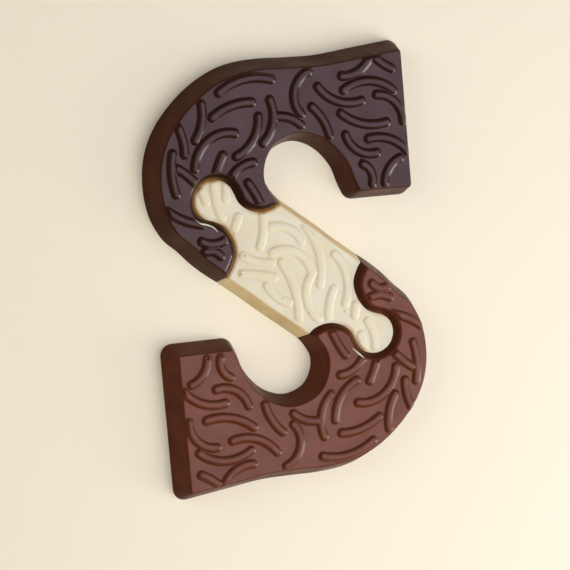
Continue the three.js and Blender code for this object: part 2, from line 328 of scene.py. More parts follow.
def half_white_border(joint, other_joint):
    """From the other joint along the diagonal's right edge, and round one joint."""
    seam, stop, _ = seam_inside(joint, -SEAM / 2)
    start = seam_inside(other_joint, -SEAM / 2)[2]
    lower_part = -cut_line(HALF_OUTLINE, start, len(HALF_OUTLINE) - 1)
    upper_part = cut_line(HALF_OUTLINE, 0, stop)
    wall = np.vstack([lower_part[:-1], upper_part])
    return [
        (wall, right_hand_side(wall, closed=False), 1.0, WHITE_EDGE),
        (seam, right_hand_side(seam, closed=False), 0.0, WHITE_SEAM_EDGE),
    ]


def white_border():
    half = half_white_border(DARK_JOINT, MILK_JOINT)
    other_half = half_white_border(MILK_JOINT, DARK_JOINT)
    return border(half + [(-points, -ways, lean, edge) for points, ways, lean, edge in other_half])


# %% [markdown]
# ## Heights of the smooth face
# Before any stroke is raised, the face is flat, apart from the rim: round the white field the bowls slope
# down to it. Its height follows from the distance to the joint, so one formula shapes the whole rim. A power
# just above one and a half makes it round at the top and steep at the foot.

# %% Distance to a line, and the rim
RIM_ROUNDNESS = 1.55
RIM_TUCK = 0.25                 # the rim's foot goes this much below the white face


def distance_to(points, line):
    """Distances from many points to a line of segments."""
    starts, ways = line[:-1], np.diff(line, axis=0)
    lengths = (ways ** 2).sum(1)
    found = []
    for part in np.array_split(points, max(1, len(points) // 4000)):
        gaps = part[:, None] - starts
        shares = np.clip((gaps * ways).sum(2) / lengths, 0, 1)
        found.append(np.linalg.norm(gaps - ways * shares[..., None], axis=2).min(1))
    return np.concatenate(found)


def smooth_step(x, low, high):
    """0 below low, 1 above high, and an S-shaped ramp between them."""
    t = np.clip((x - low) / (high - low), 0, 1)
    return t * t * (3 - 2 * t)


def rim_widths(points, joint):
    to_tail = np.linalg.norm(points - joint[-1], axis=1)
    return RIM_TAIL_WIDTH + (RIM_WIDTH - RIM_TAIL_WIDTH) * smooth_step(to_tail, 0, RIM_TAIL_REACH)


def bowl_heights(points, joint):
    """Height of a bowl's face without strokes."""
    share = np.clip(distance_to(points, carried_on(joint)) / rim_widths(points, joint), 0, 1)
    return FACE - (RECESS + RIM_TUCK) * (1 - share) ** RIM_ROUNDNESS


def white_heights(points, joint):
    return np.full(len(points), WHITE_FACE)


# %% [markdown]
# ## Raised strokes
# The mould has short curved grooves cut into it, and each leaves a raised stroke with a round back and round
# ends. A stroke is stated as a middle, a heading, a length and how far it turns from end to end, so each one
# is an arc. Only its centre line is made here, as loose edges: a Geometry Nodes tree raises the face by the
# distance to them.

# %% The strokes: middle x, middle y, heading in degrees, length, turn from end to end in degrees
BOWL_STROKES = [
    (-17, 82.8, 7, 25.5, -53), (-23.9, 72.4, 13, 19.5, -41), (-37.8, 66.9, 74, 15.5, 44),
    (-47.1, 61.7, 102, 14, 33), (-35.9, 59.1, 33, 26.5, -100), (-15.2, 57.1, 53, 20.5, 69),
    (-5.4, 63.4, 75, 19.5, 72), (-31.9, 48.5, 64, 9, -16), (-22, 46.5, 26, 12.5, -57),
    (-46.4, 45.9, -43, 10.5, -15), (-53.2, 47.2, -90, 17, 31), (-16.2, 34.3, -63, 12, -13),
    (5.8, 75.5, -106, 21.5, 115), (2.7, 64.3, -24, 12, -43), (25.6, 68.9, -22, 23, 68),
    (17.9, 62, -61, 15, -37), (37.4, 81, 30, 18.5, 77), (41, 75.9, -6, 25.5, -73),
    (52.7, 65.8, -47, 19, -90), (36.6, 58.1, -16, 23, 52), (33.3, 46.9, -33, 18.5, 85),
    (48.7, 50.2, -22, 20.5, -61), (38.7, 37.2, -67, 10.5, -84), (47.5, 37.9, -130, 13.5, 70),
    (48.6, 82.4, -36, 9, 20), (-49.6, 27.5, -26, 17, 30), (-37.6, 16, -5, 10.5, 56),
    (-37.8, 13, -18, 8, -75),
]
WHITE_STROKES = [
    (-33.4, 33.8, -82, 15.5, 31), (-28.3, 37, -96, 6.5, 0), (-38.6, 36, -70, 4.5, 0),
    (-24.8, 23.4, -116, 4.5, 0), (-12.9, 18.5, -100, 14, -29), (-1.3, 17.7, -29, 17, -74),
    (1, 7.4, -29, 22, -95), (-17.1, 5.5, -19, 14, 38), (-16.9, -0.1, -14, 15, -11),
    (-9.5, -10.4, -43, 13, 44), (-0.9, -8.3, -77, 26, -36), (4.4, -12.7, -88, 22.5, 96),
    (12.2, 5.3, -80, 27, -54), (24.3, -6.5, -82, 23, -68), (15.1, -16.4, -107, 12, 30),
    (27.1, -21.3, -103, 4.5, -2), (34.8, -32.5, -77, 12, -39), (29.2, -35.6, -78, 6, 0),
]
STROKE_STEP = 0.4


def stroke_line(middle_x, middle_y, heading, length, turn):
    """Points along one stroke's centre line, an arc or a straight line."""
    s = np.linspace(-length / 2, length / 2, round(length / STROKE_STEP) + 1)
    angle = np.radians(heading) + np.radians(turn) * s / length / 2
    half_turned = np.radians(turn) * s / length / 2
    chord = s * np.sinc(half_turned / math.pi)
    return np.stack([middle_x + chord * np.cos(angle), middle_y + chord * np.sin(angle)], axis=1)


def line_object(name, lines, height):
    """One object of loose edges, one chain for each line."""
    points = np.vstack(lines)
    firsts = np.cumsum([0] + [len(line) for line in lines[:-1]])
    edges = [(first + k, first + k + 1) for first, line in zip(firsts, lines) for k in range(len(line) - 1)]
    mesh = bpy.data.meshes.new(name)
    mesh.from_pydata(np.column_stack([points, np.full(len(points), height)]) * MM, edges, [])
    return placed(name, mesh)


bowl_lines = [stroke_line(*stroke) for stroke in BOWL_STROKES]
white_lines = [stroke_line(*stroke) for stroke in WHITE_STROKES]
print("strokes on a bowl and on the white:", len(bowl_lines), len(white_lines))

# %% [markdown]
# ## From a border to a closed body
# The body is built in three parts that share their borders. Rings go down the wall: first a small arc that
# rounds the face's edge, then the leaning wall, then a small turn into the back. The face is a field of
# triangles, small near strokes and rims, where the relief bends, and large where it is flat. The back gets
# larger triangles still. A constrained triangulation joins each field to its ring, so no seam stays open.

# %% Rings down the wall
EDGE_SIDES = 5                  # steps round the face's edge
WALL_STEPS = 4
BACK_EDGE = 0.35                # small rounding where the wall meets the back
BACK_TURN = ((0.1, 0.2, 0), (0, 0.8, 1))    # its rings: height and way in as its shares, and seam or not


def draft_at(height):
    return WALL_DRAFT * (FACE - height) / FACE


def wall_rings(loop, top):
    """The loop's points at falling heights, as a list of rings of (x, y, z)."""
    points, ways, lean, edge = loop
    turn = math.pi / 2 - lean * math.atan(WALL_DRAFT / FACE)
    rings = []
    for share in np.linspace(0, 1, EDGE_SIDES + 1):
        angle = turn * share
        height = top - edge * (1 - np.cos(angle))
        rings.append((height, lean * draft_at(top) + edge * (np.sin(angle) - np.tan(turn / 2))))
    lowest = rings[-1][0]
    for share in np.linspace(0, 1, WALL_STEPS + 1)[1:]:
        height = lowest + (BACK_EDGE - lowest) * share
        rings.append((height, lean * draft_at(height)))
    for up, inward, at_seam in BACK_TURN:
        reach = lean * (WALL_DRAFT - inward * BACK_EDGE) - (1 - lean) * at_seam * SEAM
        rings.append((np.full(len(top), up * BACK_EDGE), reach))
    return [np.column_stack([points + ways * reach[:, None], height]) for height, reach in rings]


# %% Points inside a loop, and their triangles
FINE_PITCH = 0.34               # spacing of the face's points near strokes and rims
FLAT_PITCH = 1.1                # spacing where the face is flat
BACK_PITCH = 2.0
LATTICE_MARGIN = 0.8            # share of its pitch that a lattice stays away from its ring
RELIEF_REACH = 3.0              # a stroke's surroundings, from its centre line
RIM_INSET = 1                   # a rim's surroundings start this far inside its edge
INSIDE_ONLY = 1                 # kind of triangulation: only what the loop encloses
SAME_POINT = 1e-7               # points nearer than this are one, in millimetres
SETTLING_ROUNDS = 2


def lattice_inside(loop, pitch, margin):
    """Points of a triangular lattice that lie inside a loop, at least about a margin from it."""
    loop = loop - right_hand_side(loop, closed=True) * margin
    ahead = np.roll(loop, -1, axis=0)
    row_height = pitch * math.sqrt(3) / 2
    found = []
    for row in range(math.ceil(loop[:, 1].min() / row_height), math.floor(loop[:, 1].max() / row_height) + 1):
        y = row * row_height
        crossed = (loop[:, 1] > y) != (ahead[:, 1] > y)
        a, b = loop[crossed], ahead[crossed]
        xs = np.sort(a[:, 0] + (y - a[:, 1]) * (b[:, 0] - a[:, 0]) / (b[:, 1] - a[:, 1]))
        shift = pitch / 2 * (row % 2)
        for left, right in zip(xs[::2], xs[1::2]):
            columns = np.arange(math.ceil((left - shift) / pitch), math.floor((right - shift) / pitch) + 1)
            found.append(np.column_stack([columns * pitch + shift, np.full(len(columns), y)]))
    return np.vstack(found)


def search_tree(cloud):
    """Finds the nearest of many points quickly."""
    tree = KDTree(len(cloud))
    for number, (x, y) in enumerate(cloud):
        tree.insert((x, y, 0), number)
    tree.balance()
    return tree


def distance_to_cloud(points, cloud):
    """Distances from many points to the nearest of other points."""
    tree = search_tree(cloud)
    return np.array([tree.find((x, y, 0))[2] for x, y in points])


def triangles_between(loop, inner):
    """Triangles that fill a loop and use all inner points; the loop's points come first."""
    points = [Vector(point) for point in np.vstack([loop, inner])]
    made = delaunay_2d_cdt(points, [], [list(range(len(loop)))], INSIDE_ONLY, SAME_POINT)
    origin = np.array([sources[0] for sources in made[3]])
    return origin[np.array(made[2])]


# %% The face's and the back's points
def settled_top(loop, heights, joint):
    """Height of the face along the border, where the rounded edge begins."""
    points, ways, lean, edge = loop
    inset = edge * np.tan((math.pi / 2 - lean * math.atan(WALL_DRAFT / FACE)) / 2)
    top = heights(points, joint)
    for _ in range(SETTLING_ROUNDS):
        top = heights(points + ways * (lean * draft_at(top) - inset)[:, None], joint)
    return top


def graded_lattice(rim, cloud, joint):
    """Points on the face, close together near the cloud and the rim, further apart elsewhere."""
    kept = []
    for pitch, is_fine in ((FINE_PITCH, True), (FLAT_PITCH, False)):
        points = lattice_inside(rim, pitch, pitch * LATTICE_MARGIN)
        to_rim = distance_to_cloud(points, joint) - RIM_WIDTH + RIM_INSET
        gap = np.minimum(distance_to_cloud(points, cloud), to_rim)
        kept.append(points[gap < RELIEF_REACH if is_fine else gap > RELIEF_REACH + FLAT_PITCH / 2])
    return np.vstack(kept)


def renumbered(triangles, count, ring_start, inner_start):
    """Triangles between a ring and inner points, in the numbers of the whole body."""
    return np.where(triangles < count, triangles + ring_start, triangles + inner_start - count)


# %% The closed body
def moulded_mesh(name, loop, heights, lines, joint):
    """A closed mesh, its vertices, and the numbers where the face's and the back's points start."""
    rings = wall_rings(loop, settled_top(loop, heights, joint))
    count = len(rings[0])
    rim, base = rings[0][:, :2], rings[-1][:, :2]
    face = graded_lattice(rim, np.vstack(lines), joint)
    back = lattice_inside(base, BACK_PITCH, BACK_PITCH * LATTICE_MARGIN)
    face_start = len(rings) * count
    back_start = face_start + len(face)
    on_face = np.column_stack([face, heights(face, joint)])
    vertices = np.vstack([*rings, on_face, np.column_stack([back, np.zeros(len(back))])])
    face_triangles = renumbered(triangles_between(rim, face), count, 0, face_start)
    back_ring = face_start - count
    back_triangles = renumbered(triangles_between(base, back)[:, ::-1], count, back_ring, back_start)
    here = np.arange(count)
    ahead = np.roll(here, -1)
    quads = [
        np.column_stack([low + here, low + ahead, high + ahead, high + here])
        for high, low in ((k * count, (k + 1) * count) for k in range(len(rings) - 1))
    ]
    faces = [*face_triangles.tolist(), *back_triangles.tolist(), *np.vstack(quads).tolist()]
    mesh = bpy.data.meshes.new(name)
    mesh.from_pydata(vertices * MM, [], faces)
    mesh.shade_smooth()
    return mesh, vertices, face_start, back_start


def store(mesh, name, values):
    """One number for each vertex, for the node trees to read."""
    mesh.attributes.new(name, "FLOAT", "POINT").data.foreach_set("value", np.asarray(values, np.float32))


# %% [markdown]
# ## Raising the relief with Geometry Nodes
# Each stroke could be a swept bar joined to the face by a boolean, but the bars would leave hard creases. In
# the real mould the grooves are cut with a round tool, and the chocolate's skin is one smooth surface. So the
# tree lifts the face itself: the nearer a point lies to a centre line, the higher it goes, along a curve
# that is round on top and soft at the foot. The same tree sinks the small air bubbles and ripples the back.

# %% A short way to add nodes
def add_node(tree, kind, inputs=None, **settings):
    """A new node. Its inputs are sockets to join or plain values, by name or number."""
    made = tree.nodes.new(kind)
    for setting, value in settings.items():
        setattr(made, setting, value)
    for key, value in (inputs or {}).items():
        if isinstance(value, bpy.types.NodeSocket):
            tree.links.new(value, made.inputs[key])
        else:
            made.inputs[key].default_value = value
    return made


def calculate(tree, operation, *values, clamp=False):
    """A Math node's result."""
    inputs = dict(enumerate(values))
    return add_node(tree, "ShaderNodeMath", inputs, operation=operation, use_clamp=clamp).outputs[0]


def set_curve(node, points):
    """Gives a Float Curve node its points."""
    curve = node.mapping.curves[0]
    for x, y in points[1:-1]:
        curve.points.new(x, y)
    for point, (x, y) in zip(curve.points, points):
        point.location = (x, y)
    node.mapping.update()


# %% The relief tree
STROKE_PROFILE = [
    (0, 1), (0.2, 0.975), (0.4, 0.9), (0.58, 0.765), (0.73, 0.55), (0.84, 0.27), (0.92, 0.08), (1, 0),
]
TREE_INPUTS = [
    ("Body", "NodeSocketGeometry"), ("Stroke lines", "NodeSocketObject"), ("Stroke width", "NodeSocketFloat"),
    ("Stroke height", "NodeSocketFloat"), ("Stroke foot", "NodeSocketFloat"), ("Bubbles", "NodeSocketObject"),
    ("Bubble depth", "NodeSocketFloat"), ("Ripple height", "NodeSocketFloat"),
    ("Ripple scale", "NodeSocketFloat"), ("Chocolate", "NodeSocketMaterial"),
]


def named_number(tree, name):
    node = add_node(tree, "GeometryNodeInputNamedAttribute", {"Name": name}, data_type="FLOAT")
    return node.outputs["Attribute"]


def stroke_share(tree, given, place):
    """1 on a stroke's middle line, 0 beyond its foot."""
    lines = add_node(tree, "GeometryNodeObjectInfo", {"Object": given["Stroke lines"]}).outputs["Geometry"]
    near = add_node(
        tree, "GeometryNodeProximity", {"Geometry": lines, "Sample Position": place}, target_element="EDGES"
    ).outputs["Distance"]
    half_width = calculate(tree, "MULTIPLY", given["Stroke width"], 0.5)
    reach = calculate(tree, "MULTIPLY", half_width, given["Stroke foot"])
    share = calculate(tree, "DIVIDE", near, reach, clamp=True)
    profile = add_node(tree, "ShaderNodeFloatCurve", {"Value": share})
    set_curve(profile, STROKE_PROFILE)
    return calculate(tree, "MULTIPLY", profile.outputs[0], named_number(tree, "stroke_room"))


def bubble_share(tree, given, place):
    """Depth of the nearest bubble here as a share of its radius, and that radius."""
    dots = add_node(tree, "GeometryNodeObjectInfo", {"Object": given["Bubbles"]}).outputs["Geometry"]
    nearest = add_node(
        tree, "GeometryNodeSampleNearest", {"Geometry": dots, "Sample Position": place}, domain="POINT"
    ).outputs["Index"]
    spot = add_node(
        tree, "GeometryNodeSampleIndex",
        {"Geometry": dots, "Value": add_node(tree, "GeometryNodeInputPosition").outputs[0], "Index": nearest},
        data_type="FLOAT_VECTOR", domain="POINT",
    ).outputs["Value"]
    radius = add_node(
        tree, "GeometryNodeSampleIndex",
        {"Geometry": dots, "Value": named_number(tree, "radius"), "Index": nearest},
        data_type="FLOAT", domain="POINT",
    ).outputs["Value"]
    gap = add_node(tree, "ShaderNodeVectorMath", {0: place, 1: spot}, operation="DISTANCE").outputs["Value"]
    share = calculate(tree, "DIVIDE", gap, radius, clamp=True)
    square = calculate(tree, "MULTIPLY", share, share)
    round_bottom = calculate(tree, "SQRT", calculate(tree, "SUBTRACT", 1, square))
    return calculate(tree, "MULTIPLY", round_bottom, named_number(tree, "face_share")), radius


def make_relief_tree():
    tree = bpy.data.node_groups.new("mould_relief", "GeometryNodeTree")
    for name, kind in TREE_INPUTS:
        tree.interface.new_socket(name, in_out="INPUT", socket_type=kind)
    tree.interface.new_socket("Body", in_out="OUTPUT", socket_type="NodeSocketGeometry")
    given = tree.nodes.new("NodeGroupInput").outputs
    position = add_node(tree, "GeometryNodeInputPosition").outputs[0]
    flatten = {0: position, 1: (1, 1, 0)}
    place = add_node(tree, "ShaderNodeVectorMath", flatten, operation="MULTIPLY").outputs[0]
    stroke = stroke_share(tree, given, place)
    bubble, radius = bubble_share(tree, given, place)
    ripple = add_node(
        tree, "ShaderNodeTexNoise", {"Vector": place, "Scale": given["Ripple scale"], "Detail": 2.0}
    ).outputs["Fac"]
    parts = [
        calculate(tree, "MULTIPLY", stroke, given["Stroke height"]),
        calculate(tree, "MULTIPLY", calculate(tree, "MULTIPLY", bubble, radius), given["Bubble depth"]),
        calculate(tree, "MULTIPLY", calculate(tree, "MULTIPLY", ripple, given["Ripple height"]),
                  named_number(tree, "back_share")),
    ]
    rise = calculate(tree, "ADD", calculate(tree, "SUBTRACT", parts[0], parts[1]), parts[2])
    body = given["Body"]
    for name, value in (("stroke", stroke), ("bubble", bubble)):
        body = add_node(
            tree, "GeometryNodeStoreNamedAttribute", {"Geometry": body, "Name": name, "Value": value},
            data_type="FLOAT", domain="POINT",
        ).outputs[0]
    lift = add_node(tree, "ShaderNodeCombineXYZ", {"Z": rise}).outputs[0]
    raised = add_node(tree, "GeometryNodeSetPosition", {"Geometry": body, "Offset": lift}).outputs[0]
    real = add_node(tree, "GeometryNodeRealizeInstances", {"Geometry": raised}).outputs[0]
    coated = add_node(
        tree, "GeometryNodeSetMaterial", {"Geometry": real, "Material": given["Chocolate"]}
    ).outputs[0]
    add_node(tree, "NodeGroupOutput", {"Body": coated})
    return tree


relief_tree = make_relief_tree()
print("relief tree:", len(relief_tree.nodes), "nodes")

# %% [markdown]
# ## Air bubbles
# The runny chocolate can trap a bubble of air, often where a stroke ends. It leaves a small round pit once the
# letter is knocked out of its mould. Each is a middle and a radius. The face gets its small triangles round
# each, so that a pit narrower than a millimetre still shows.

# %% Bubbles: middle x, middle y, radius
MILK_BUBBLES = [
    (-45, -31.4, 0.6), (-39, -31.4, 0.5), (32.6, -16.5, 0.45), (14.4, -28.6, 0.5), (35.3, -11, 0.3),
]
DARK_BUBBLES = [(34.2, 43.4, 0.3)]
WHITE_BUBBLES = [
    (-26.7, 18.8, 0.75), (-22.8, 9.1, 0.7), (-25.5, 1.5, 0.8), (7.2, 19, 0.55), (4.8, -19.5, 0.5),
    (21.7, -21.3, 0.55), (-7.2, -11.4, 0.5), (-3.5, 1.5, 0.35), (25.9, 6.2, 0.4),
]                               # those at (7.2, 19) and (25.9, 6.2) fall beyond the face and don't show
BUBBLE_RINGS = (0.35, 0.7, 0.93, 1.1, 1.5)      # shares of a bubble's radius
RING_POINTS = 12                # on a ring as large as the bubble
FEWEST_RING_POINTS = 6


def bubble_object(name, bubbles):
    mesh = bpy.data.meshes.new(name)
    mesh.from_pydata([(x * MM, y * MM, 0) for x, y, _ in bubbles], [], [])
    store(mesh, "radius", [radius * MM for _, _, radius in bubbles])
    return placed(name, mesh)


def bubble_rings(bubbles):
    """Points round each bubble; the face's triangles are small near them."""
    rings = []
    for x, y, radius in bubbles:
        for share in BUBBLE_RINGS:
            count = max(FEWEST_RING_POINTS, round(RING_POINTS * share))
            angles = np.linspace(0, 2 * math.pi, count, endpoint=False) + share
            reach = radius * share
            rings.append(np.stack([x + reach * np.cos(angles), y + reach * np.sin(angles)], axis=1))
    return np.vstack(rings)


# %% [markdown]
# ## Casting a piece
# The bare body gets numbers on its vertices that tell the tree where it may work: strokes fade out at the
# rim and down the walls, bubbles stay on the face and ripples on the back. The tree's result is then kept as
# a plain mesh. The milk bowl is cast like the dark one and turned half round at the end.

# %% Numbers for the tree, and the cast piece
RIPPLE_HEIGHT = 0.12
RIPPLE_SCALE = 110              # ripples to a metre
SEAM_FADE = 1.2                 # strokes on the white sink away this close to a seam
STROKE_FADE = (0.8, 1.2)        # and on a bowl between these shares of the rim's width
FACE_FADE = (0.2, 0.9)          # down the wall, shares of the face's height
RIPPLE_FADE = (1, 4)            # millimetres from the wall, on the back


def seam_distance(points):
    """Distance on the white to the nearer joint."""
    to_dark = distance_to(points, carried_on(DARK_JOINT))
    to_milk = distance_to(-points, carried_on(MILK_JOINT))
    return np.minimum(to_dark, to_milk)


def bowl_room(points, joint):
    """1 where strokes may rise on a bowl, 0 on its rim."""
    share = distance_to(points, carried_on(joint)) / rim_widths(points, joint)
    return smooth_step(share, *STROKE_FADE)


def white_room(points, joint):
    return smooth_step(seam_distance(points), 0, SEAM_FADE)


EDGE_FADE = 1.6                 # strokes sink towards the letter's edge over this distance
EDGE_SHARE = 0.25               # what is left of them on the edge itself
WHOLE_OUTLINE = np.vstack([HALF_OUTLINE[:-1], -HALF_OUTLINE])


def edge_room(points):
    """1 inside the face, little at the letter's edge, so that no stroke breaks the outline."""
    return EDGE_SHARE + (1 - EDGE_SHARE) * smooth_step(distance_to(points, WHOLE_OUTLINE), 0, EDGE_FADE)


# %% [markdown]
# ## Where the colour changes
# The walls and the rims are duller than the face, and their other colour is painted light and shade. Where a
# bowl thins out against the white an amber glow is painted: it is strong on the side of the window and stays
# there under any other light.

# %% Numbers for the colours
WALL_POLISH = 0.06              # share of the face's shine; the rest turns the colour towards painted shade
RIM_POLISH = 0.08
POLISH_FADE = (0.5, 1.05)       # shares of the rim's width over which the shine returns and the painted rim shade fades
LIGHT_SIDE = np.array((0.9, -0.43))     # way to the window, for the painted glow
TINT_TURN = (-0.45, 0.6)        # from no glow to all of it, as the edge turns that way
PAINTED_GLOW_ON_BOWL = 1.6         # how far from the seam the painted glow reaches on the bowls
PAINTED_GLOW_ON_WHITE = 2.0        # how far the painted glow reaches onto the white
MILK_PAINTED_GLOW = 0.85           # the milk bowl gets a little less of the painted glow


def wall_share(count, total, face_start, back_start):
    """0 on the face, 1 on the walls and the back, rising over the rounded edge."""
    numbers = np.arange(total)
    down = np.where(numbers < face_start, np.minimum(numbers // count, EDGE_SIDES) / EDGE_SIDES, 0)
    return np.where(numbers >= back_start, 1, down)


# Near the joint the rim gets little polish, and so painted shade.
def rim_polish_and_shade(points, joint):
    share = distance_to(points, carried_on(joint)) / rim_widths(points, joint)
    return RIM_POLISH + (1 - RIM_POLISH) * smooth_step(share, *POLISH_FADE)


def painted_edge_glow(points, joint, light_side, reach):
    """How much painted glow each point gets: near the joint, where the edge turns towards the given side."""
    tree = search_tree(joint)
    nearest = np.array([tree.find((x, y, 0))[1] for x, y in points])
    to_white = -right_hand_side(joint, closed=False)[nearest]
    near = 1 - smooth_step(distance_to(points, joint), 0, reach)
    return near * smooth_step(to_white @ light_side, *TINT_TURN)


def bowl_painted_glow(points, joint, turned):
    light_side = -LIGHT_SIDE if turned else LIGHT_SIDE
    shown = painted_edge_glow(points, joint, light_side, PAINTED_GLOW_ON_BOWL)
    return shown * (MILK_PAINTED_GLOW if turned else 1)


def white_painted_glow(points):
    by_dark = painted_edge_glow(points, DARK_JOINT, LIGHT_SIDE, PAINTED_GLOW_ON_WHITE)
    by_milk = painted_edge_glow(-points, MILK_JOINT, -LIGHT_SIDE, PAINTED_GLOW_ON_WHITE)
    return np.maximum(by_dark, by_milk * MILK_PAINTED_GLOW)


# %% [markdown]
# ## The tree's result as a plain mesh
# The relief could stay a live modifier, but the strokes' lines and the bubbles are helpers that shouldn't be
# left in the scene. So each body goes through the tree once, and only the mesh that comes out is kept.

# %% Casting
def set_input(modifier, name, value):
    """Sets a modifier's input by the identifier of its socket."""
    for socket in modifier.node_group.interface.items_tree:
        if socket.item_type == "SOCKET" and socket.in_out == "INPUT" and socket.name == name:
            modifier[socket.identifier] = value


def tree_result(name, mesh, tree, values):
    """What a tree makes of a mesh, as a plain mesh."""
    body = placed(name, mesh)
    modifier = body.modifiers.new(tree.name, "NODES")
    modifier.node_group = tree
    for title, value in values.items():
        set_input(modifier, title, value)
    plain = bpy.data.meshes.new_from_object(body.evaluated_get(bpy.context.evaluated_depsgraph_get()))
    bpy.data.objects.remove(body)
    return plain


def relief_numbers(mesh, vertices, heights, room, joint, face_start, back_start):
    """Stores where the relief tree may raise strokes, sink bubbles and ripple the back."""
    plan, height = vertices[:, :2], vertices[:, 2]
    on_back = np.arange(len(vertices)) >= back_start
    face_share = np.where(on_back, 0, smooth_step(height / heights(plan, joint), *FACE_FADE))
    from_wall = distance_to_cloud(plan, vertices[:face_start, :2])
    store(mesh, "stroke_room", room(plan, joint) * edge_room(plan) * face_share)
    store(mesh, "face_share", face_share)
    store(mesh, "back_share", on_back * smooth_step(from_wall, *RIPPLE_FADE))


def colour_numbers(mesh, plan, joint, count, face_start, back_start, turned):
    """Stores where the skin is wall, polished face, painted rim shade or painted glow."""
    is_bowl = joint is not None
    wall = wall_share(count, len(plan), face_start, back_start)
    shine = 1 + (WALL_POLISH - 1) * wall
    store(mesh, "wall_share", wall)
    store(mesh, "polish_and_rim_shade", shine * rim_polish_and_shade(plan, joint) if is_bowl else shine)
    store(mesh, "painted_edge_glow", bowl_painted_glow(plan, joint, turned) if is_bowl else white_painted_glow(plan))


def raised(name, mesh, lines, bubbles, relief, material):
    """The body with its relief, as a plain mesh."""
    strokes, dots = line_object(name + "_strokes", lines, 0), bubble_object(name + "_bubbles", bubbles)
    values = {
        "Stroke lines": strokes, "Bubbles": dots, "Chocolate": material, "Stroke width": STROKE_WIDTH * MM,
        "Ripple height": RIPPLE_HEIGHT * MM, "Ripple scale": RIPPLE_SCALE, **relief,
    }
    plain = tree_result(name + "_body", mesh, relief_tree, values)
    plain.name = name
    for used in (strokes, dots):
        bpy.data.objects.remove(used)
    return plain


def cast(name, loop, shape, lines, bubbles, relief, material, turned=False):
    """One piece: its body, its numbers, its relief. The shape is (heights, room, joint)."""
    heights, room, joint = shape
    near = DARK_JOINT if joint is None else joint
    mesh, vertices, face_start, back_start = moulded_mesh(
        name + "_body", loop, heights, [*lines, bubble_rings(bubbles)], near
    )
    relief_numbers(mesh, vertices, heights, room, near, face_start, back_start)
    colour_numbers(mesh, vertices[:, :2], joint, len(loop[0]), face_start, back_start, turned)
    plain = raised(name, mesh, lines, bubbles, relief, material)
    if turned:
        plain.transform(Matrix.Rotation(math.pi, 4, "Z"))
    piece = placed(name, plain)
    print(name, "triangles:", sum(len(face.vertices) - 2 for face in plain.polygons))
    return piece


# %% [markdown]
# ## Chocolate skin
# Chocolate that set against a polished mould shines; its colour is never quite even, and handling leaves
# hair-fine scuffs and a little dust. Photographs could show all this, but they would fix one light and one
# place. Noise in the piece's own coordinates works from every side. Two shader groups hold what all three
# flavours share: one makes the marks, the other turns them into colour, shine and roughness.

# %% Helpers for shader trees
def new_group(name, inputs, outputs):
    """A shader group with named sockets, and the sockets of its input."""
    tree = bpy.data.node_groups.new(name, "ShaderNodeTree")
    for in_out, sockets in (("INPUT", inputs), ("OUTPUT", outputs)):
        for title, kind in sockets:
            tree.interface.new_socket(title, in_out=in_out, socket_type=kind)
    return tree, tree.nodes.new("NodeGroupInput").outputs


def noise(tree, place, scale, detail=2.0):
    inputs = {"Vector": place, "Scale": scale, "Detail": detail}
    return add_node(tree, "ShaderNodeTexNoise", inputs).outputs["Fac"]


def ramp(tree, value, low, high, start=0.0, end=1.0):
    """A soft step from start to end while the value goes from low to high."""
    inputs = {"Value": value, "From Min": low, "From Max": high, "To Min": start, "To Max": end}
    return add_node(tree, "ShaderNodeMapRange", inputs, interpolation_type="SMOOTHSTEP").outputs["Result"]


def mixed(tree, share, low, high):
    """One colour at share 0, the other at share 1."""
    return add_node(tree, "ShaderNodeMix", {0: share, 6: low, 7: high}, data_type="RGBA").outputs[2]


def vertex_number(tree, name):
    return add_node(tree, "ShaderNodeAttribute", attribute_name=name).outputs["Fac"]


# %% The group of marks
FLOAT, COLOUR = "NodeSocketFloat", "NodeSocketColor"
BLOTCH_SCALE = 85               # colour blotches, to a metre
GRAIN_SCALE = 2300              # the skin's fine grain
SCUFF_STRETCH = (60, 1500, 300)
SCUFF_TURN = (0, 0, 0.6)
DUST_CELLS = 190                # at most one speck of dust to a cell
PATCH_SCALE = 55                # patches that have scuffs, to a metre
HAIR_EDGE = (0.64, 0.72)        # noise values between which a scuff appears
PATCH_EDGE = (0.5, 0.6)
DUST_LOT = (0.8, 0.85)          # only cells that draw a higher lot have a speck
SPECK_EDGE = (0.03, 0.07)       # from a speck's middle, in cells


def make_marks_group():
    tree, given = new_group(
        "skin_marks",
        [("Grain", FLOAT), ("Scuffs", FLOAT), ("Dust", FLOAT)],
        [("Blotches", FLOAT), ("Scuffs", FLOAT), ("Dust", FLOAT), ("Height", FLOAT)],
    )
    place = add_node(tree, "ShaderNodeTexCoord").outputs["Object"]
    blotches = noise(tree, place, BLOTCH_SCALE, 3.0)
    grain = noise(tree, place, GRAIN_SCALE, 3.0)
    along = add_node(
        tree, "ShaderNodeMapping", {"Vector": place, "Rotation": SCUFF_TURN, "Scale": SCUFF_STRETCH}
    ).outputs["Vector"]
    hairs = ramp(tree, noise(tree, along, 1.0), *HAIR_EDGE)
    patches = ramp(tree, noise(tree, place, PATCH_SCALE), *PATCH_EDGE)
    scuffs = calculate(tree, "MULTIPLY", calculate(tree, "MULTIPLY", hairs, patches), given["Scuffs"])
    cells = add_node(tree, "ShaderNodeTexVoronoi", {"Vector": place, "Scale": DUST_CELLS}).outputs
    lot = add_node(tree, "ShaderNodeSeparateColor", {"Color": cells["Color"]}).outputs["Red"]
    drawn = ramp(tree, lot, *DUST_LOT)
    specks = calculate(tree, "MULTIPLY", ramp(tree, cells["Distance"], *SPECK_EDGE, 1, 0), drawn)
    dust = calculate(tree, "MULTIPLY", specks, given["Dust"])
    rough_skin = calculate(tree, "MULTIPLY", grain, given["Grain"])
    height = calculate(tree, "SUBTRACT", calculate(tree, "ADD", rough_skin, dust), scuffs)
    marks = {"Blotches": blotches, "Scuffs": scuffs, "Dust": dust, "Height": height}
    add_node(tree, "NodeGroupOutput", marks)
    return tree


marks_group = make_marks_group()
print("marks:", len(marks_group.nodes), "nodes")
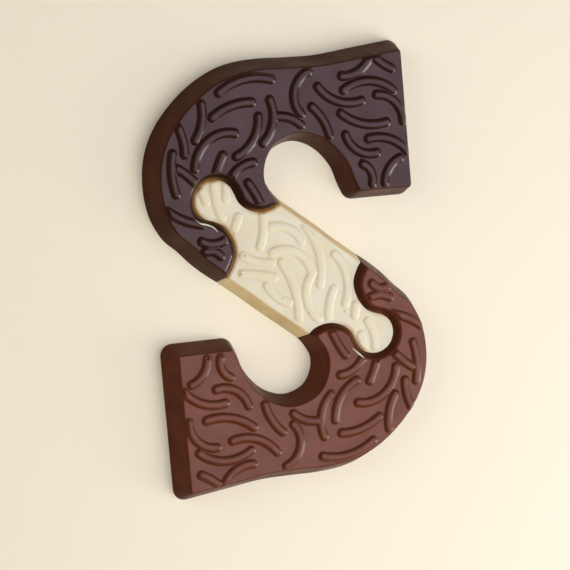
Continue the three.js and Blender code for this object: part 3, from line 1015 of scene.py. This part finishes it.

# %% [markdown]
# ## From marks to a surface
# The second group starts with the blotchy colour of the face and lays the others over it one by one: painted
# shade on the strokes' flanks and the rims, painted light and shade on the walls, a painted glow by the joint,
# painted shade in the pits, then scuffs and dust. What is scuffed or cloudy also shines less.

# %% The group of colour, shine and roughness
PAINTED_FLANK_SHADE = 0.8              # how much painted shade a stroke's flanks take
BLOTCH_RANGE = (0.3, 0.7)       # noise values from the deep colour to the even one
WALL_BLOTCHES = (0.3, 0.65, 0.6, 1)     # noise values, and the shares of the painted wall colour against the painted shade that they give
PIT_SHADE = 0.9
SCUFF_PALENESS = 0.35
DUST_PALENESS = 0.7
SCUFF_DULLNESS = 0.5
SCUFF_ROUGHNESS = 0.2
CLOUDY_SHINE = 0.88             # share of the shine that is left in a deep blotch
UNEVEN_ROUGHNESS = (0.06, -0.04)        # added in a deep blotch and in an even one


def make_flavour_group():
    tree, given = new_group(
        "flavour",
        [("Blotches", FLOAT), ("Scuffs", FLOAT), ("Dust", FLOAT), ("Even", COLOUR), ("Deep", COLOUR),
         ("Painted flank shade", COLOUR), ("Painted shade", COLOUR), ("Painted wall shading", COLOUR), ("Painted edge glow", COLOUR), ("Pale", COLOUR),
         ("Roughness", FLOAT), ("Gloss", FLOAT)],
        [("Colour", COLOUR), ("Shine", FLOAT), ("Roughness", FLOAT)],
    )
    polish_and_shade = vertex_number(tree, "polish_and_rim_shade")
    stroke = vertex_number(tree, "stroke")
    blotch = ramp(tree, given["Blotches"], *BLOTCH_RANGE)
    foot = calculate(tree, "MULTIPLY", stroke, calculate(tree, "SUBTRACT", 1, stroke))
    colour = mixed(tree, blotch, given["Deep"], given["Even"])
    # Painted shade on the strokes' flanks, on both sides of each stroke.
    colour = mixed(tree, calculate(tree, "MULTIPLY", foot, 4 * PAINTED_FLANK_SHADE), colour, given["Painted flank shade"])
    # Where the polish is low, on rims and walls, the colour turns to painted shade.
    colour = mixed(tree, polish_and_shade, given["Painted shade"], colour)
    # The walls and the back get painted light and shade, blotched between two painted colours.
    wall = mixed(tree, ramp(tree, given["Blotches"], *WALL_BLOTCHES), given["Painted shade"], given["Painted wall shading"])
    colour = mixed(tree, vertex_number(tree, "wall_share"), colour, wall)
    # A painted glow near the joint, strongest on the window side.
    colour = mixed(tree, vertex_number(tree, "painted_edge_glow"), colour, given["Painted edge glow"])
    # Painted shade in the pits.
    pit = calculate(tree, "MULTIPLY", vertex_number(tree, "bubble"), PIT_SHADE)
    colour = mixed(tree, pit, colour, given["Painted shade"])
    colour = mixed(tree, calculate(tree, "MULTIPLY", given["Scuffs"], SCUFF_PALENESS), colour, given["Pale"])
    colour = mixed(tree, calculate(tree, "MULTIPLY", given["Dust"], DUST_PALENESS), colour, given["Pale"])
    worn = calculate(tree, "SUBTRACT", 1, calculate(tree, "MULTIPLY", given["Scuffs"], SCUFF_DULLNESS))
    cloudy = ramp(tree, blotch, 0, 1, CLOUDY_SHINE, 1)
    shine = calculate(tree, "MULTIPLY", calculate(tree, "MULTIPLY", polish_and_shade, worn), cloudy)
    shine = calculate(tree, "MULTIPLY", shine, given["Gloss"])
    uneven = calculate(tree, "ADD", given["Roughness"], ramp(tree, blotch, 0, 1, *UNEVEN_ROUGHNESS))
    roughness = calculate(tree, "ADD", uneven, calculate(tree, "MULTIPLY", given["Scuffs"], SCUFF_ROUGHNESS))
    add_node(tree, "NodeGroupOutput", {"Colour": colour, "Shine": shine, "Roughness": roughness})
    return tree


flavour_group = make_flavour_group()
print("flavour:", len(flavour_group.nodes), "nodes")

# %% [markdown]
# ## A flavour's material
# One function makes all three materials. The flavours differ only in their colours and in a few numbers for
# shine and marks. A little light goes under the skin of the white and milk chocolate.

# %% One flavour's material
BUMP_HEIGHT = 0.00004           # metres, for a mark of height 1
GLOW_REACH = 0.0045             # metres that red light goes under the skin
GLOW_SHARES = (1, 0.62, 0.26)   # the same for red, green and blue, as shares


def chocolate(name, colours, roughness, gloss, specular, coat_roughness, grain, scuffs, dust, glow=0.0):
    """A Principled material fed by both groups; glow is the share of light that goes under the skin."""
    material = bpy.data.materials.new(name)
    material.use_nodes = True
    tree = material.node_tree
    marks = add_node(tree, "ShaderNodeGroup", node_tree=marks_group)
    for title, value in (("Grain", grain), ("Scuffs", scuffs), ("Dust", dust)):
        marks.inputs[title].default_value = value
    flavour = add_node(tree, "ShaderNodeGroup", node_tree=flavour_group)
    for title in ("Blotches", "Scuffs", "Dust"):
        tree.links.new(marks.outputs[title], flavour.inputs[title])
    for title, colour in colours.items():
        flavour.inputs[title].default_value = (*colour, 1)
    flavour.inputs["Roughness"].default_value = roughness
    flavour.inputs["Gloss"].default_value = gloss
    bump = add_node(tree, "ShaderNodeBump", {"Height": marks.outputs["Height"], "Distance": BUMP_HEIGHT})
    shader = tree.nodes["Principled BSDF"]
    for socket, source in (
        ("Base Color", flavour.outputs["Colour"]), ("Coat Weight", flavour.outputs["Shine"]),
        ("Roughness", flavour.outputs["Roughness"]), ("Normal", bump.outputs["Normal"]),
    ):
        tree.links.new(source, shader.inputs[socket])
    shader.inputs["Specular IOR Level"].default_value = specular
    shader.inputs["Coat Roughness"].default_value = coat_roughness
    shader.inputs["Subsurface Weight"].default_value = glow
    shader.inputs["Subsurface Radius"].default_value = GLOW_SHARES
    shader.inputs["Subsurface Scale"].default_value = GLOW_REACH
    return material


# %% The three flavours
# Even, Deep and Pale are the chocolate's colours; the other four are painted shade, wall shading and glow.
DARK_COLOURS = {
    "Even": (0.050, 0.0150, 0.0090), "Deep": (0.041, 0.0120, 0.0070), "Painted flank shade": (0.020, 0.0066, 0.0038),
    "Painted shade": (0.020, 0.0062, 0.0030), "Painted wall shading": (0.068, 0.0172, 0.0055), "Painted edge glow": (0.26, 0.118, 0.022),
    "Pale": (0.16, 0.10, 0.07),
}
MILK_COLOURS = {
    "Even": (0.165, 0.047, 0.0175), "Deep": (0.134, 0.037, 0.0140), "Painted flank shade": (0.085, 0.0235, 0.0105),
    "Painted shade": (0.052, 0.0135, 0.0055), "Painted wall shading": (0.110, 0.0255, 0.0080), "Painted edge glow": (0.20, 0.078, 0.022),
    "Pale": (0.36, 0.20, 0.14),
}
WHITE_COLOURS = {
    "Even": (0.755, 0.735, 0.590), "Deep": (0.74, 0.685, 0.50), "Painted flank shade": (0.77, 0.71, 0.51),
    "Painted shade": (0.60, 0.40, 0.16), "Painted wall shading": (0.82, 0.66, 0.37), "Painted edge glow": (0.36, 0.19, 0.05),
    "Pale": (0.60, 0.45, 0.26),
}
dark_chocolate = chocolate(
    "dark_chocolate", DARK_COLOURS, roughness=0.42, gloss=1.0, specular=0.1, coat_roughness=0.17,
    grain=0.5, scuffs=0.5, dust=0.6,
)
milk_chocolate = chocolate(
    "milk_chocolate", MILK_COLOURS, roughness=0.45, gloss=0.78, specular=0.1, coat_roughness=0.2,
    grain=0.6, scuffs=0.4, dust=0.5, glow=0.05,
)
white_chocolate = chocolate(
    "white_chocolate", WHITE_COLOURS, roughness=0.5, gloss=0.8, specular=0.08, coat_roughness=0.35,
    grain=0.6, scuffs=0.3, dust=0.9, glow=0.35,
)
print("flavours:", dark_chocolate.name, milk_chocolate.name, white_chocolate.name)

# %% [markdown]
# ## The three pieces
# Both bowls come from the same strokes. The milk bowl's bubbles are given where they are seen on the letter,
# so they are turned back before it is cast and turned half round.

# %% The three pieces
BOWL_RELIEF = {"Stroke height": STROKE_HEIGHT * MM, "Stroke foot": 1.14, "Bubble depth": 1.2}
WHITE_RELIEF = {"Stroke height": WHITE_STROKE_HEIGHT * MM, "Stroke foot": 1.2, "Bubble depth": 0.25}
dark_bowl = cast(
    "dark_bowl_cast", bowl_border(DARK_JOINT), (bowl_heights, bowl_room, DARK_JOINT), bowl_lines,
    DARK_BUBBLES, BOWL_RELIEF, dark_chocolate,
)
milk_bowl = cast(
    "milk_bowl_cast", bowl_border(MILK_JOINT), (bowl_heights, bowl_room, MILK_JOINT), bowl_lines,
    [(-x, -y, radius) for x, y, radius in MILK_BUBBLES], BOWL_RELIEF, milk_chocolate, turned=True,
)
white_diagonal = cast(
    "white_diagonal_cast", white_border(), (white_heights, white_room, None), white_lines,
    WHITE_BUBBLES, WHITE_RELIEF, white_chocolate,
)

# %% [markdown]
# ## Threads of white
# At the necks of the joint a thin thread of white chocolate lies across the rim. A thread is a line that gets
# thicker and thinner, so a second tree sweeps a small circle along it. Its height follows the rim under it, so
# it always lies on the rim.

# %% Thread paths: x, y and radius, and the tree that sweeps them
DARK_NECK_THREAD = [
    (-45, 27.6, 0.15), (-42.8, 25.5, 0.36), (-40.1, 24.6, 0.42), (-37.9, 23.7, 0.42), (-36.2, 22.5, 0.34),
    (-34.9, 20.8, 0.12),
]
MILK_NECK_THREAD = [(22.9, -37.2, 0.18), (24.8, -39.2, 0.42), (26.9, -41.2, 0.36), (28.9, -43.6, 0.14)]
THREAD_SINK = 0.3               # share of its radius that a thread is sunk into the rim
THREAD_POINTS = 30              # along a thread
THREAD_SIDES = 10               # round it


def make_thread_tree():
    tree = bpy.data.node_groups.new("poured_thread", "GeometryNodeTree")
    for name, kind in (
        ("Path", "NodeSocketGeometry"), ("Points", "NodeSocketInt"), ("Sides", "NodeSocketInt"),
        ("Chocolate", "NodeSocketMaterial"),
    ):
        tree.interface.new_socket(name, in_out="INPUT", socket_type=kind)
    tree.interface.new_socket("Thread", in_out="OUTPUT", socket_type="NodeSocketGeometry")
    given = tree.nodes.new("NodeGroupInput").outputs
    curve = add_node(tree, "GeometryNodeMeshToCurve", {"Mesh": given["Path"]}).outputs[0]
    even = add_node(tree, "GeometryNodeResampleCurve", {"Curve": curve, "Count": given["Points"]}).outputs[0]
    circle = add_node(
        tree, "GeometryNodeCurvePrimitiveCircle", {"Resolution": given["Sides"], "Radius": 1.0}
    ).outputs[0]
    swept = add_node(
        tree, "GeometryNodeCurveToMesh",
        {"Curve": even, "Profile Curve": circle, "Scale": named_number(tree, "radius"), "Fill Caps": True},
    ).outputs[0]
    real = add_node(tree, "GeometryNodeRealizeInstances", {"Geometry": swept}).outputs[0]
    coated = add_node(
        tree, "GeometryNodeSetMaterial", {"Geometry": real, "Material": given["Chocolate"]}
    ).outputs[0]
    add_node(tree, "NodeGroupOutput", {"Thread": coated})
    return tree


def thread_mesh(name, path, side, joint):
    """A thread across a bowl's rim; side is 1 for the dark bowl and -1 for the milk bowl."""
    path = np.array(path)
    fine = smooth_curve(path[:, :2], EDGE_STEP)
    radius = np.interp(np.linspace(0, len(path) - 1, len(fine)), np.arange(len(path)), path[:, 2])
    height = bowl_heights(fine * side, joint) + radius * (1 - THREAD_SINK)
    mesh = bpy.data.meshes.new(name)
    edges = [(k, k + 1) for k in range(len(fine) - 1)]
    mesh.from_pydata(np.column_stack([fine, height]) * MM, edges, [])
    store(mesh, "radius", radius * MM)
    values = {"Points": THREAD_POINTS, "Sides": THREAD_SIDES, "Chocolate": white_chocolate}
    made = tree_result(name, mesh, thread_tree, values)
    store(made, "polish_and_rim_shade", np.ones(len(made.vertices)))
    return made


def add_to_piece(piece, extra):
    """Puts another closed mesh into a piece's mesh."""
    both = bmesh.new()
    both.from_mesh(piece.data)
    both.from_mesh(extra)
    both.to_mesh(piece.data)
    both.free()


thread_tree = make_thread_tree()
add_to_piece(white_diagonal, thread_mesh("dark_neck_thread", DARK_NECK_THREAD, 1, DARK_JOINT))
add_to_piece(white_diagonal, thread_mesh("milk_neck_thread", MILK_NECK_THREAD, -1, MILK_JOINT))
print("threads added to", white_diagonal.name)

# %% [markdown]
# ## Joining the solid model
# The letter is one rigid body, so every piece rides on its root. Each stands in for the node of the solid
# model that has the same place.

# %% Each piece takes its place in the frame
for piece, node, slot in (
    (dark_bowl, "dark_bowl", "dark_chocolate"),
    (milk_bowl, "milk_bowl", "milk_chocolate"),
    (white_diagonal, "white_diagonal", "white_chocolate"),
):
    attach(piece, "root")
    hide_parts(node)
    print(piece.name, "replaces", node)

# %% [markdown]
# ## Floor and light
# A pale floor and soft light, as in a small product studio. The panel above gives the cool sheen on the dark
# face, and the low window gives the strokes their lit flanks. The two warm lights only add brightness, so
# they are kept out of reflections.

# %% The floor
FLOOR_HALF_SIDE = 1.5           # metres
FLOOR_COLOUR = (0.90, 0.855, 0.70)
FLOOR_ROUGHNESS = 0.7


def plain_finish(name, colour, roughness):
    material = bpy.data.materials.new(name)
    material.use_nodes = True
    shader = material.node_tree.nodes["Principled BSDF"]
    shader.inputs["Base Color"].default_value = (*colour, 1)
    shader.inputs["Roughness"].default_value = roughness
    return material


def make_floor():
    mesh = bpy.data.meshes.new("floor")
    half = FLOOR_HALF_SIDE
    corners = [(-half, -half, 0), (half, -half, 0), (half, half, 0), (-half, half, 0)]
    mesh.from_pydata(corners, [], [(0, 1, 2, 3)])
    mesh.materials.append(plain_finish("pale_floor", FLOOR_COLOUR, FLOOR_ROUGHNESS))
    placed("floor", mesh)


make_floor()


# %% The lights: name, way to it, side in metres, brightness, colour, seen in reflections or not
LIGHT_DISTANCE = 1.1            # metres from the letter
LIGHTS = [
    ("sky_panel", (0.50, -0.10, 0.86), 1.1, 1.22, (0.78, 0.755, 1), True),
    ("window", (0.86, -0.42, 0.30), 0.35, 9, (1, 0.97, 0.92), True),
    ("warm_key", (0.40, -0.42, 0.82), 0.8, 4.5, (1, 0.94, 0.82), False),
    ("camera_side_fill", (-0.80, 0.40, 0.42), 0.7, 2.6, (1, 0.93, 0.80), False),
]
STUDIO_SHADE = (0.085, 0.078, 0.070, 1)


def area_light(name, direction, size, radiance, colour, glossy):
    """A soft square light that faces the letter; radiance is its own brightness."""
    data = bpy.data.lights.new(name, "AREA")
    data.size = size
    data.energy = radiance * math.pi * size ** 2
    data.color = colour
    light = placed(name, data)
    way = Vector(direction).normalized()
    light.location = way * LIGHT_DISTANCE
    light.rotation_mode = "QUATERNION"
    light.rotation_quaternion = way.to_track_quat("Z", "Y")
    light.visible_glossy = glossy


for light in LIGHTS:
    area_light(*light)
world = bpy.data.worlds.new("studio")
world.use_nodes = True
world.node_tree.nodes["Background"].inputs["Color"].default_value = STUDIO_SHADE
bpy.context.scene.world = world
bpy.context.scene.view_settings.view_transform = "Standard"
print("lights:", [light[0] for light in LIGHTS])

bpy.context.view_layer.update()
